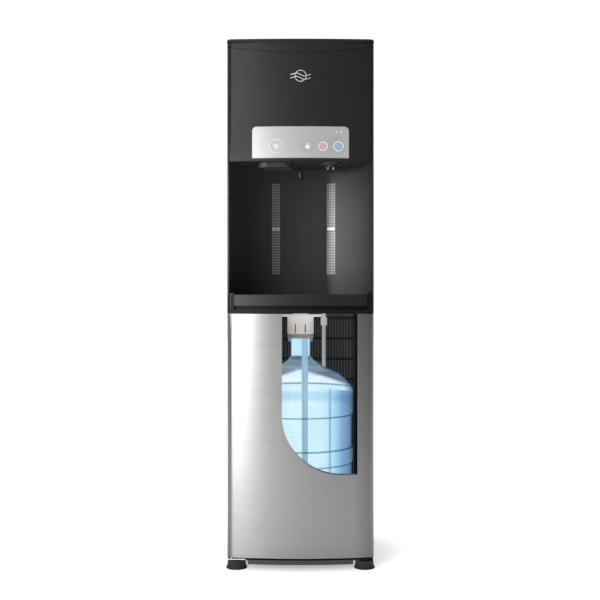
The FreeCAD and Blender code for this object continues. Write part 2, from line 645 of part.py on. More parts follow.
board = box(-104, 104, 24, 25.6, 984, 1052)
chips = [
    box(-75, -45, 25.6, 28, 1030, 1046),
    box(0, 22, 25.6, 31, 1028, 1048),
    box(60, 84, 25.6, 30, 1030, 1044),
]
for name, (button_x, button_r) in BUTTONS.items():
    chips.append(box(button_x - 4, button_x + 4, 22.6, 24, BUTTON_Z - 4, BUTTON_Z + 4))
export("control_board", join([board] + chips))

# ---- ice chute, flap and nozzles ----
chute = rounded_block(CHUTE_X, CHUTE_D, 42, 30, 24, 965, 983)
chute = chute.fuse(box(-105, -17, 34, 111, 980.6, 1060))
chute = chute.cut(rounded_block(CHUTE_X, CHUTE_D, 36, 24, 8, 964, 984))
chute = chute.cut(box(-103, -19, 36, 112, 982.6, 1061))
flap_d = CHUTE_D + 15
chute = chute.cut(rod_x(2.55, CHUTE_X - 45, CHUTE_X + 45, flap_d, 973))
export("ice_chute", chute)
flap = rounded_block(CHUTE_X, CHUTE_D, 35.5, 23.5, 7, 972, 974)
barrel = rod_x(3.4, CHUTE_X - 35.5, CHUTE_X + 35.5, flap_d, 973)
shaft = rod_x(2.5, CHUTE_X - 38.5, CHUTE_X + 38.5, flap_d, 973)
export("chute_flap", join([flap, barrel, shaft]))

nozzle_block = post(27.0, NOZZLE_X, NOZZLE_D, 972, CEILING_Z).fuse(post(14.2, NOZZLE_X, NOZZLE_D, 966.5, 992))
for side, name in ((-1, "hot_nozzle"), (1, "cold_nozzle")):
    spout_x = NOZZLE_X + side * 6.5
    nozzle_block = nozzle_block.cut(post(4.0, spout_x, NOZZLE_D, 960, 1000))
    spout = ring(4.0, 2.6, spout_x, NOZZLE_D, 962, 1004)
    export(name, spout.fuse(ring(4.8, 2.6, spout_x, NOZZLE_D, 998, 1001)))
export("nozzle_flange", nozzle_block.removeSplitter())

# ---- cold side behind the alcove ----
tank_x = 80.0
tank_d = 270.0
tank_base = DECK_Z + DECK_T
tank = turned([(0, 650), (52, 650), (60, 658), (60, 880), (52, 888), (0, 888)], tank_x, tank_d)
tank = tank.cut(turned([(0, 652), (51, 652), (58, 659), (58, 879), (51, 886), (0, 886)], tank_x, tank_d))
tank_legs = []
for leg in range(3):
    leg_a = math.radians(90 + leg * 120)
    leg_x = tank_x + 40 * math.cos(leg_a)
    leg_d = tank_d + 40 * math.sin(leg_a)
    tank_legs.append(post(5.0, leg_x, leg_d, tank_base, 650.5))
ports = [ring(7, 4, tank_x, tank_d, 887, 905)]
export("cold_tank", join([tank] + tank_legs).fuse(ports[0]).cut(post(4, tank_x, tank_d, 880, 905)))

coil_r = 63.9
turns = []
for turn in range(7):
    turns.append(Part.makeTorus(coil_r, 3.2, at(tank_x, tank_d, 700 + turn * 22)))
turns.append(post(3.6, tank_x + coil_r, tank_d, 694, 838))
export("evaporator_coil", turns[0].multiFuse(turns[1:]))

comp_x = -85.0
comp_d = 270.0
shell = [(0, 634), (58, 634), (62, 640), (62, 690), (64, 690), (64, 696), (62, 696), (62, 730)]
shell += [(56, 752), (40, 764), (18, 770), (0, 771)]
compressor = turned(shell, comp_x, comp_d)
base_plate = rounded_block(comp_x, comp_d, 72, 56, 10, 631, 634.5)
compressor = compressor.fuse(base_plate)
for side_x in (-58, 58):
    for side_d in (-42, 42):
        compressor = compressor.fuse(post(8.0, comp_x + side_x, comp_d + side_d, tank_base, 631.5))
compressor = compressor.fuse(box(comp_x - 16, comp_x + 16, 202, 215, 665, 705))
export("compressor", compressor)

# ---- head internals ----
upper = box(-INNER_W + 1, INNER_W - 1, 115, 347, UPPER_DECK_Z, UPPER_DECK_Z + 3)
upper = upper.fuse(box(-INNER_W + 1, INNER_W - 1, 344, 347, UPPER_DECK_Z - 20, UPPER_DECK_Z + 1))
export("upper_deck", upper)

heater = turned([(0, 988), (40, 988), (46, 994), (46, 1110), (38, 1120), (0, 1120)], 105, 235)
heater = heater.fuse(post(7, 105, 235, 1119, 1134))
export("hot_tank", heater)

bin_x0 = -150.0
bin_x1 = 30.0
paddle_x = -61.0
paddle_z = 1036.0
ice_bin = box(bin_x0, bin_x1, 115, 300, 988, 1130)
ice_bin = ice_bin.cut(box(bin_x0 + 2.5, bin_x1 - 2.5, 117.5, 297.5, 990.5, 1131))
ice_bin = ice_bin.cut(box(-103, -19, 110, 118, 998, 1058))
bearing = rod_d(9.0, paddle_x, 296, 303, paddle_z)
ice_bin = ice_bin.fuse(bearing).cut(rod_d(5.05, paddle_x, 290, 310, paddle_z))
export("ice_bin", ice_bin)

paddle = rod_d(5.0, paddle_x, 124, 311, paddle_z)
for blade in range(5):
    blade_d = 136 + blade * 32
    arm = box(paddle_x - 4, paddle_x + 4, blade_d - 2, blade_d + 2, paddle_z - 36, paddle_z + 36)
    arm.rotate(at(paddle_x, blade_d, paddle_z), FreeCAD.Vector(0, 1, 0), blade * 36)
    paddle = paddle.fuse(arm)
export("ice_paddle", paddle.removeSplitter())

gear_motor = rod_d(27.0, paddle_x, 306, 340, paddle_z).fuse(box(-85, -37, 306, 340, 988, 1020))
gear_motor = gear_motor.cut(rod_d(5.05, paddle_x, 300, 313, paddle_z))
export("auger_motor", gear_motor)

head_x0 = -130.0
head_x1 = 10.0
pivot_d = 219.0
pivot_z = 1199.0
cooler = box(head_x0, head_x1, 156, 210, 1206, 1222)
for column in range(6):
    for row in range(2):
        finger_x = -115 + column * 22
        finger_d = 170 + row * 24
        cooler = cooler.fuse(post(5.0, finger_x, finger_d, 1176, 1207))
for side_x in (head_x0 - 9, head_x1 + 5):
    cooler = cooler.fuse(box(side_x, side_x + 4, 195, 232, 1130, 1222))
cooler = cooler.fuse(box(head_x0 - 9, head_x1 + 9, 195, 210, 1212, 1222))
cooler = cooler.fuse(box(bin_x0, head_x0 - 5, 195, 232, 1130, 1133))
cooler = cooler.fuse(box(head_x1 + 5, bin_x1, 195, 232, 1130, 1133))
cooler = cooler.cut(rod_x(3.05, head_x0 - 20, head_x1 + 20, pivot_d, pivot_z))
export("freezing_head", cooler.removeSplitter())

trough = box(head_x0 + 2, head_x1 - 2, 151, 214, 1165, 1196)
trough = trough.cut(box(head_x0 + 4, head_x1 - 4, 153, 212, 1167, 1197))
for lug_x in (head_x0 + 2, head_x1 - 4):
    trough = trough.fuse(box(lug_x, lug_x + 2, 205, 223, 1180, 1203))
for pin_x in (head_x0 - 8, head_x1 - 4):
    trough = trough.fuse(rod_x(3.0, pin_x, pin_x + 12, pivot_d, pivot_z))
export("ice_tray", trough.removeSplitter())
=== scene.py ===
import math

import bmesh
import bpy
from mathutils import Matrix, Vector
from mathutils.bvhtree import BVHTree


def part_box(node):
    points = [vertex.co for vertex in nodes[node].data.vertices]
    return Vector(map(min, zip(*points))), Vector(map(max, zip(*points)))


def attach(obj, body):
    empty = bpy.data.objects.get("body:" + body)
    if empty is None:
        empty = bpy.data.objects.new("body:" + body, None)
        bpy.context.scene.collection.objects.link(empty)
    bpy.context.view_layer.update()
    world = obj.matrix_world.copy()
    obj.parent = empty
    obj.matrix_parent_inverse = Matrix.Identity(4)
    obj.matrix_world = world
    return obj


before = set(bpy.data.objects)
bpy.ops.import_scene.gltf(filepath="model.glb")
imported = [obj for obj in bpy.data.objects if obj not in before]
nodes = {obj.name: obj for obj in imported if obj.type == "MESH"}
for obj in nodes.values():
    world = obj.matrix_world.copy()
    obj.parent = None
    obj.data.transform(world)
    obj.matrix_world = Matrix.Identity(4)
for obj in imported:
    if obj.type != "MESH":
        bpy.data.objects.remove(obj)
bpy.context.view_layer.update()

# Sizes are in metres and places are in the CAD frame: X to the right, -Y to the front, Z up.
OUTSIDE = 1.0                       # rays start this far from the middle, well outside the object


# ---------- measuring the CAD meshes ----------
def surface_of(*names):
    """Surface of CAD nodes, to measure and to stand pieces on."""
    verts = []
    faces = []
    for name in names:
        mesh = nodes[name].data
        base = len(verts)
        verts += [v.co.copy() for v in mesh.vertices]
        faces += [[base + i for i in p.vertices] for p in mesh.polygons]
    return BVHTree.FromPolygons(verts, faces)


def facing(surface, x, z):
    """Place on the front of a surface: local X right, local Y up, local Z outwards."""
    point, normal, _, _ = surface.ray_cast(Vector((x, -OUTSIDE, z)), Vector((0, 1, 0)))
    out = normal if normal.y < 0 else -normal
    right = Vector((0, 0, 1)).cross(out).normalized()
    up = out.cross(right)
    place = Matrix((right, up, out)).transposed().to_4x4()
    place.translation = point
    return place


def centre_of(node):
    lo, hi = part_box(node)
    return (lo + hi) / 2


# ---------- the bottle's shape, felt from its CAD mesh ----------
BOTTLE_LO, BOTTLE_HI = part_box("bottle")
BOTTLE_Y = centre_of("bottle").y
PROFILE_STEPS = 150
FOOT_SKIPPED = 0.012                # the profile starts above the bottle's underside
LIP_SKIPPED = 0.004                 # and ends below its top
SAME_RADIUS = 0.0005


def bottle_profile():
    """(radius, height) of the bottle's outer wall."""
    surface = surface_of("bottle")
    low = BOTTLE_LO.z + FOOT_SKIPPED
    high = BOTTLE_HI.z - LIP_SKIPPED
    points = []
    for k in range(PROFILE_STEPS + 1):
        z = low + (high - low) * k / PROFILE_STEPS
        point, _, _, _ = surface.ray_cast(Vector((-OUTSIDE, BOTTLE_Y, z)), Vector((1, 0, 0)))
        points.append((-point.x, z))
    return points


PROFILE = bottle_profile()
BOTTLE_R = max(r for r, _ in PROFILE)
NECK_R = min(r for r, _ in PROFILE)
BODY_TOP = max(z for r, z in PROFILE if r > BOTTLE_R - SAME_RADIUS)
NECK_FOOT = min(z for r, z in PROFILE if z > BODY_TOP and r < NECK_R + SAME_RADIUS)
HOSE_LO, HOSE_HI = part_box("bottle_hose")
HOSE_R = (HOSE_HI.y - HOSE_LO.y) / 2


# ---------- material building ----------
def grey(value):
    return (value, value, value)


def new_mat(name):
    material = bpy.data.materials.new(name)
    material.use_nodes = True
    graph = material.node_tree
    graph.nodes.clear()
    out = graph.nodes.new("ShaderNodeOutputMaterial")
    bsdf = graph.nodes.new("ShaderNodeBsdfPrincipled")
    graph.links.new(bsdf.outputs["BSDF"], out.inputs["Surface"])
    return material, graph, bsdf


def fill(graph, socket, value):
    """Gives a socket a colour, a number or a link."""
    if isinstance(value, tuple):
        socket.default_value = (*value, 1)
    elif isinstance(value, (int, float)):
        socket.default_value = value
    else:
        graph.links.new(value, socket)


def xyz(graph, kind):
    """X, Y and Z of a texture coordinate: Object, Generated or Normal."""
    coordinate = graph.nodes.new("ShaderNodeTexCoord")
    split = graph.nodes.new("ShaderNodeSeparateXYZ")
    graph.links.new(coordinate.outputs[kind], split.inputs["Vector"])
    return split.outputs["X"], split.outputs["Y"], split.outputs["Z"]


def noise(graph, scale, detail=4.0, stretch=(1, 1, 1), rough=0.55):
    coordinate = graph.nodes.new("ShaderNodeTexCoord")
    mapping = graph.nodes.new("ShaderNodeMapping")
    mapping.inputs["Scale"].default_value = stretch
    graph.links.new(coordinate.outputs["Object"], mapping.inputs["Vector"])
    texture = graph.nodes.new("ShaderNodeTexNoise")
    texture.inputs["Scale"].default_value = scale
    texture.inputs["Detail"].default_value = detail
    texture.inputs["Roughness"].default_value = rough
    graph.links.new(mapping.outputs["Vector"], texture.inputs["Vector"])
    return texture.outputs["Fac"]


def remap(graph, value, to_min, to_max, from_min=0.25, from_max=0.75):
    """One range turned into another and held at its ends; a noise mostly lies in the usual one."""
    node = graph.nodes.new("ShaderNodeMapRange")
    node.inputs["From Min"].default_value = from_min
    node.inputs["From Max"].default_value = from_max
    node.inputs["To Min"].default_value = to_min
    node.inputs["To Max"].default_value = to_max
    graph.links.new(value, node.inputs["Value"])
    return node.outputs["Result"]


def math_node(graph, operation, *values):
    node = graph.nodes.new("ShaderNodeMath")
    node.operation = operation
    for socket, value in zip(node.inputs, values):
        fill(graph, socket, value)
    return node.outputs[0]


def mix_color(graph, amount, first, second, blend="MIX"):
    node = graph.nodes.new("ShaderNodeMix")
    node.data_type = "RGBA"
    node.blend_type = blend
    fill(graph, node.inputs["Factor"], amount)
    fill(graph, node.inputs["A"], first)
    fill(graph, node.inputs["B"], second)
    return node.outputs["Result"]


def multiply(graph, first, second):
    return mix_color(graph, 1.0, first, second, "MULTIPLY")


def ramp(graph, value, stops):
    """Colours at (position, colour) stops, in line between them."""
    node = graph.nodes.new("ShaderNodeValToRGB")
    elements = node.color_ramp.elements
    for element, (position, color) in zip((elements[0], elements[1]), (stops[0], stops[-1])):
        element.position = position
        element.color = (*color, 1)
    for position, color in stops[1:-1]:
        elements.new(position).color = (*color, 1)
    graph.links.new(value, node.inputs["Fac"])
    return node.outputs["Color"]


def bump(graph, bsdf, height, strength, distance):
    node = graph.nodes.new("ShaderNodeBump")
    node.inputs["Strength"].default_value = strength
    node.inputs["Distance"].default_value = distance
    graph.links.new(height, node.inputs["Height"])
    graph.links.new(node.outputs["Normal"], bsdf.inputs["Normal"])


def shade(color, factor):
    return tuple(max(0.0, min(1.0, channel * factor)) for channel in color)


def varied(graph, pattern, color, vary):
    """A colour that a pattern makes a little darker and lighter."""
    return mix_color(graph, remap(graph, pattern, 0, 1), shade(color, 1 - vary), shade(color, 1 + vary))


def plastic(name, color, rough=0.35, vary=0.06, scale=160.0, strength=0.12, spec=0.5, coat=0.0):
    """Moulded plastic, rubber or paint, with a fine grain."""
    material, graph, bsdf = new_mat(name)
    cloud = noise(graph, 9.0, 3.0)
    graph.links.new(varied(graph, cloud, color, vary), bsdf.inputs["Base Color"])
    smudge = noise(graph, 30.0)
    graph.links.new(remap(graph, smudge, rough * 0.9, rough * 1.1), bsdf.inputs["Roughness"])
    bsdf.inputs["Specular IOR Level"].default_value = spec
    bsdf.inputs["Coat Weight"].default_value = coat
    bsdf.inputs["Coat Roughness"].default_value = 0.12
    bump(graph, bsdf, noise(graph, scale * 6, 5.0), strength, 0.0002)
    return material


def metal(name, color, rough=0.25, vary=0.05, scale=60.0, strength=0.08):
    """Plain metal without a direction."""
    material, graph, bsdf = new_mat(name)
    graph.links.new(varied(graph, noise(graph, scale), color, vary), bsdf.inputs["Base Color"])
    smudge = noise(graph, scale * 2)
    graph.links.new(remap(graph, smudge, rough * 0.85, rough * 1.2), bsdf.inputs["Roughness"])
    bsdf.inputs["Metallic"].default_value = 1.0
    bump(graph, bsdf, noise(graph, scale * 20, 3.0), strength, 0.0001)
    return material


# how far across a steel piece its painted shade and painted highlight reach, each as (from, to) of its
# width or height
FOOT_ZONE = (0.0, 0.35)
RIGHT_ZONE = (0.2, 0.9)
LEFT_EDGE_ZONE = (0.025, 0.05)
RIGHT_EDGE_ZONE = (0.86, 0.99)
EVEN_PAINTED_SHADING = (1.0, 1.0, 1.0, 1.1)   # no painted shade, but for a painted highlight that makes the right edge slightly paler


def brushed(name, color, rough, aniso, streak, grain, metallic=1.0, painted_shading=EVEN_PAINTED_SHADING):
    """Steel with level grain; its base colour holds painted shade and painted highlight at the foot, from
    left to right, and on the left and right edges.
    """
    material, graph, bsdf = new_mat(name)
    lines = noise(graph, 1.0, 5.0, (3.0, 3.0, grain), 0.7)
    grained = varied(graph, lines, color, streak)
    foot_shade, right_shade, left_edge_shade, right_edge_shade = painted_shading
    across, _, height = xyz(graph, "Generated")
    foot = remap(graph, height, foot_shade, 1.0, *FOOT_ZONE)
    right = remap(graph, across, 2.0 - right_shade, right_shade, *RIGHT_ZONE)
    left_edge = remap(graph, across, left_edge_shade, 1.0, *LEFT_EDGE_ZONE)
    right_edge = remap(graph, across, 1.0, right_edge_shade, *RIGHT_EDGE_ZONE)
    edges = math_node(graph, "MULTIPLY", left_edge, right_edge)
    sides = math_node(graph, "MULTIPLY", right, edges)
    painted_shade = math_node(graph, "MULTIPLY", foot, sides)
    painted_shade_color = graph.nodes.new("ShaderNodeCombineColor")
    for socket in painted_shade_color.inputs[:3]:
        graph.links.new(painted_shade, socket)
    graph.links.new(multiply(graph, grained, painted_shade_color.outputs["Color"]), bsdf.inputs["Base Color"])
    graph.links.new(remap(graph, lines, rough * 0.85, rough * 1.15), bsdf.inputs["Roughness"])
    bsdf.inputs["Metallic"].default_value = metallic
    bsdf.inputs["Anisotropic"].default_value = aniso
    bsdf.inputs["Anisotropic Rotation"].default_value = 0.25
    tangent = graph.nodes.new("ShaderNodeTangent")
    tangent.direction_type = "RADIAL"
    tangent.axis = "Z"
    graph.links.new(tangent.outputs["Tangent"], bsdf.inputs["Tangent"])
    bump(graph, bsdf, lines, 0.10, 0.00006)
    return material


def glow(name, color, strength, rough=0.4):
    """Plastic that gives off a little of its own colour."""
    material = plastic(name, color, rough, 0.04, 150.0, 0.04)
    bsdf = next(n for n in material.node_tree.nodes if n.type == "BSDF_PRINCIPLED")
    bsdf.inputs["Emission Color"].default_value = (*color, 1)
    bsdf.inputs["Emission Strength"].default_value = strength
    return material


# ---------- the clear bottle ----------
# painted shade: a darker tint drawn where the clear wall leans over a rib step
STEP_SHADE = (0.55, 0.66, 0.72)
STEP_SLOPE = (0.30, 0.60)           # how far the wall leans over a rib before its painted shade line shows
STEP_FADE = 0.002                   # the painted shade lines end this far below the shoulder
GLOSS_HEAD_ON = 0.02
GLOSS_GAIN = 0.8
GLOSS_POWER = 4.0


def clear_bottle():
    """Thin clear wall, glossy where it turns away, with painted shade lines where the ribs step in and out.
    """
    material, graph, bsdf = new_mat("bottle_blue")
    graph.nodes.remove(bsdf)
    out = next(n for n in graph.nodes if n.type == "OUTPUT_MATERIAL")
    clear = graph.nodes.new("ShaderNodeBsdfTransparent")
    gloss = graph.nodes.new("ShaderNodeBsdfGlossy")
    gloss.inputs["Color"].default_value = (0.80, 0.90, 0.97, 1)
    graph.links.new(remap(graph, noise(graph, 40.0, 3.0), 0.06, 0.14), gloss.inputs["Roughness"])
    bump(graph, gloss, noise(graph, 26.0, 3.0), 0.15, 0.0008)
    cloud = remap(graph, noise(graph, 8.0, 2.0), 0, 1)
    wall = mix_color(graph, cloud, (0.86, 0.94, 0.99), (0.94, 0.98, 1.0))
    slope = math_node(graph, "ABSOLUTE", xyz(graph, "Normal")[2])
    height = xyz(graph, "Object")[2]
    below_shoulder = remap(graph, height, 1.0, 0.0, BODY_TOP - STEP_FADE, BODY_TOP)
    painted_step_shade = math_node(graph, "MULTIPLY", remap(graph, slope, 0.0, 1.0, *STEP_SLOPE), below_shoulder)
    graph.links.new(mix_color(graph, painted_step_shade, wall, STEP_SHADE), clear.inputs["Color"])
    edge = graph.nodes.new("ShaderNodeLayerWeight")
    edge.inputs["Blend"].default_value = 0.5
    grazing = math_node(graph, "POWER", edge.outputs["Facing"], GLOSS_POWER)
    amount = math_node(graph, "MULTIPLY_ADD", grazing, GLOSS_GAIN, GLOSS_HEAD_ON)
    amount.node.use_clamp = True
    both = graph.nodes.new("ShaderNodeMixShader")
    graph.links.new(amount, both.inputs["Fac"])
    graph.links.new(clear.outputs["BSDF"], both.inputs[1])
    graph.links.new(gloss.outputs["BSDF"], both.inputs[2])
    graph.links.new(both.outputs["Shader"], out.inputs["Surface"])
    return material


# ---------- the light in the water: a painted glow ---
# Heights are shares of the shoulder: 0 where the bottle's body ends and 1 at the foot of its neck.
# Widths in the shoulder and the neck are shares of the bottle's radius.
WALL = 0.0026                       # the light stands this far inside the bottle's outer wall
# the shell is no lamp: it glows with painted light and shade in its own colours
WATER_GLOW = 1.0
WATER_RIM = (0.03, 0.05, 0.08)
WATER_DEEP = (0.24, 0.42, 0.62)
WATER_MID = (0.60, 0.85, 0.98)
WATER_PALE = (0.86, 1.00, 1.00)
SHOULDER_SHADOW_TINT = (0.70, 0.80, 0.90)      # a painted shadow band near the top of the body, under the shoulder
WHITE = (1.0, 1.0, 1.0)
BODY_MEETS_SHOULDER = (-0.12, -0.07)

BAR_TONE = (0.38, 0.56, 0.66)       # a painted image of the hose behind the bottle, as seen through the water
WATER_MAGNIFIES = 1.25              # a hose behind a round body of water looks further from the axis
HOSE_SEEN_X = (HOSE_LO.x + HOSE_R) * WATER_MAGNIFIES
BAR_HALF = HOSE_R * 0.6

PANE_LOW = (0.85, 0.95, 1.00)       # painted light at the foot of the shoulder, with a painted dark line across it
FOOT_LINE = (0.28, 0.42, 0.52)
ROOM_NAVY = (0.09, 0.14, 0.24)      # painted shade: the dark cupboard, as seen through the empty shoulder
ROOM_GREY = (0.15, 0.18, 0.20)
SHOULDER_BOW = 0.46                 # how much lower the pale part ends at the sides than in the middle
PALE_ENDS = (0.46, 0.57)
SHOULDER_RIM = (0.82, 1.0)

NECK_TONE = (0.70, 0.88, 1.00)
NECK_PANE = NECK_R / BOTTLE_R * 0.86
NECK_SOFT = 0.94
SHOULDER_MEETS_NECK = (0.96, 1.0)


def bottle_places(graph):
    """X, the distance off the bottle's axis as a share of its radius, and the height up the shoulder."""
    x, _, z = xyz(graph, "Object")
    off_axis = math_node(graph, "DIVIDE", math_node(graph, "ABSOLUTE", x), BOTTLE_R)
    climb = math_node(graph, "SUBTRACT", z, BODY_TOP)
    rise = math_node(graph, "DIVIDE", climb, NECK_FOOT - BODY_TOP)
    return x, off_axis, rise


def body_light(graph, x, off_axis, rise):
    """Painted glow, paler where more water lies behind the wall, with a painted shadow band and the hose
    painted as a grey bar.
    """
    squared = math_node(graph, "MULTIPLY", off_axis, off_axis)
    rest = math_node(graph, "MAXIMUM", math_node(graph, "SUBTRACT", 1.0, squared), 0.0)
    depth = math_node(graph, "SQRT", rest)
    body = ramp(graph, depth, [(0.2, WATER_RIM), (0.6, WATER_DEEP), (0.78, WATER_MID), (1.0, WATER_PALE)])
    drop = math_node(graph, "MULTIPLY", rise, -1.0)
    band = ramp(graph, drop, [(0.12, WHITE), (0.26, SHOULDER_SHADOW_TINT), (0.40, SHOULDER_SHADOW_TINT), (0.55, WHITE)])
    body = multiply(graph, body, band)
    from_bar = math_node(graph, "ABSOLUTE", math_node(graph, "SUBTRACT", x, HOSE_SEEN_X))
    on_bar = remap(graph, from_bar, 1.0, 0.0, BAR_HALF * 0.8, BAR_HALF * 1.2)
    return mix_color(graph, on_bar, body, BAR_TONE)


def upper_light(graph, off_axis, rise):
    """Painted light and shade: the shoulder's pale foot, the dark cupboard above it, and the pale neck."""
    foot = ramp(graph, rise, [(0.03, PANE_LOW), (0.045, FOOT_LINE), (0.080, FOOT_LINE), (0.10, WHITE)])
    room = ramp(graph, rise, [(0.15, ROOM_NAVY), (0.80, ROOM_GREY)])
    bowed = math_node(graph, "MULTIPLY_ADD", off_axis, SHOULDER_BOW, rise)
    shoulder = mix_color(graph, remap(graph, bowed, 0.0, 1.0, *PALE_ENDS), foot, room)
    shoulder = mix_color(graph, remap(graph, off_axis, 0.0, 1.0, *SHOULDER_RIM), shoulder, WATER_RIM)
    neck_side = remap(graph, off_axis, 0.0, 1.0, NECK_PANE * NECK_SOFT, NECK_PANE)
    neck = mix_color(graph, neck_side, NECK_TONE, ROOM_NAVY)
    return mix_color(graph, remap(graph, rise, 0.0, 1.0, *SHOULDER_MEETS_NECK), shoulder, neck)


def painted_water_glow_mat():
    material, graph, bsdf = new_mat("water_light")
    x, off_axis, rise = bottle_places(graph)
    body = body_light(graph, x, off_axis, rise)
    upper = upper_light(graph, off_axis, rise)
    color = mix_color(graph, remap(graph, rise, 0.0, 1.0, *BODY_MEETS_SHOULDER), body, upper)
    ripple = noise(graph, 5.0, 3.0, (3.0, 3.0, 0.6))
    # painted ripples of light and shade across the glow
    cast = mix_color(graph, remap(graph, ripple, 0, 1, 0.35, 0.65), (0.86, 0.88, 0.90), WHITE)
    color = multiply(graph, color, cast)
    graph.links.new(multiply(graph, color, grey(0.2)), bsdf.inputs["Base Color"])
    graph.links.new(color, bsdf.inputs["Emission Color"])
    bsdf.inputs["Emission Strength"].default_value = WATER_GLOW
    graph.links.new(remap(graph, ripple, 0.25, 0.4), bsdf.inputs["Roughness"])
    bump(graph, bsdf, ripple, 0.2, 0.001)
    return material


# ---------- the materials ----------
# colour, roughness, anisotropy, streaks, grain, metallic, painted shade and highlight
STEELS = {
    # stainless: painted shade at the foot, towards the right and on both rolled edges, and a painted
    # highlight towards the left
    "stainless": ((0.315, 0.315, 0.313), 0.30, 0.65, 0.08, 900.0, 1.0, (0.76, 0.88, 0.55, 0.65)),
    "plate_steel": ((0.455, 0.455, 0.453), 0.36, 0.4, 0.07, 1400.0, 0.35),
    "button_steel": ((0.46, 0.46, 0.458), 0.36, 0.4, 0.04, 1600.0, 0.35),
    "grid_steel": (grey(0.50), 0.35, 0.3, 0.05, 900.0),
    "tank_steel": (grey(0.60), 0.3, 0.3, 0.05, 500.0),
}
# colour, roughness, variation, grain, depth of grain, specular level, coat
PLASTICS = {
    "black_satin": ((0.006, 0.006, 0.0064), 0.40, 0.05, 120.0, 0.05, 0.12),
    "black_head": ((0.013, 0.013, 0.0135), 0.40, 0.05, 120.0, 0.05, 0.24),
    "black_alcove": ((0.034, 0.034, 0.035), 0.62, 0.05, 120.0, 0.06, 0.12),
    "black_gloss": ((0.010, 0.010, 0.0104), 0.34, 0.05, 120.0, 0.04, 0.30),
    "black_matte": ((0.020, 0.020, 0.021), 0.55),
    "black_steel": ((0.028, 0.028, 0.030), 0.42, 0.08, 260.0, 0.25),
    "frame_grey": ((0.040, 0.041, 0.043), 0.50, 0.08, 260.0, 0.2),
    "coil_black": ((0.008, 0.008, 0.009), 0.35),
    "grey_steel": ((0.24, 0.245, 0.25), 0.45, 0.06, 200.0, 0.15),
    "rubber_black": (grey(0.018), 0.62, 0.1, 140.0, 0.3, 0.25),
    "rubber_grey": ((0.09, 0.09, 0.095), 0.7, 0.08, 140.0, 0.3, 0.3),
    "grey_plastic": ((0.10, 0.10, 0.105), 0.5, 0.06, 150.0, 0.2),
    "dark_liner": ((0.05, 0.05, 0.053), 0.5, 0.06, 150.0, 0.2),
    "white_plastic": ((0.80, 0.81, 0.82), 0.38, 0.02, 150.0, 0.08),
    # a dark sheet of painted shade, set in the slots of the probe's collar
    "slot_dark": ((0.035, 0.07, 0.055), 0.5, 0.05),
    "board_green": ((0.03, 0.16, 0.06), 0.4, 0.15),
    "lens": ((0.10, 0.11, 0.13), 0.2, 0.02, 150.0, 0.02),
    "lamp": ((0.010, 0.010, 0.011), 0.25, 0.04, 200.0, 0.05),
    "strip": ((0.060, 0.060, 0.062), 0.5, 0.05, 200.0, 0.1),
    "enamel": ((0.022, 0.022, 0.023), 0.3, 0.05, 150.0, 0.1, 0.5, 0.3),
    "mould": ((0.74, 0.77, 0.80), 0.4, 0.03),
}
# colour, roughness, variation, pattern, depth of pattern
METALS = {
    "zinc": ((0.62, 0.63, 0.64), 0.3, 0.1),
    "emblem": ((0.85, 0.85, 0.86), 0.32, 0.03),
    "nozzle_dark": ((0.26, 0.26, 0.265), 0.20, 0.03),
    "copper": ((0.80, 0.42, 0.28), 0.28, 0.08),
    "cast_alu": ((0.70, 0.70, 0.71), 0.42, 0.06, 80.0, 0.2),
}
# colour, strength of glow, roughness; the strip dots, the strip marks and the night light's pane are lamps,
# and the glow of the others is painted light
GLOWS = {
    # painted glow: the dip tube, hoses, collar, seal and condenser wires are no lamps
    "tube_grey": ((0.36, 0.53, 0.60), 0.85, 0.3),
    "hose_white": ((0.72, 0.71, 0.69), 0.30, 0.3),
    "collar_white": ((0.80, 0.78, 0.75), 0.38, 0.36),
    "wire_grey": ((0.11, 0.11, 0.112), 0.42),
    "band_grey": ((0.38, 0.33, 0.31), 0.30, 0.5),
    # painted glow on the marks and rings of the buttons and indicators, which are no lamps
    "mark_white": ((0.62, 0.63, 0.63), 0.28),
    "mark_red": ((0.46, 0.32, 0.30), 0.12),
    "mark_blue": ((0.25, 0.34, 0.45), 0.12),
    "dot_light": ((0.10, 0.10, 0.102), 1.0),
    "strip_mark": ((0.14, 0.14, 0.142), 2.2),
    "lamp_pane": ((0.11, 0.11, 0.115), 0.1),
}
MATERIALS = {"bottle": clear_bottle(), "water": painted_water_glow_mat()}
for maker, table in ((brushed, STEELS), (plastic, PLASTICS), (metal, METALS), (glow, GLOWS)):
    for mat_name, values in table.items():
        MATERIALS[mat_name] = maker(mat_name, *values)

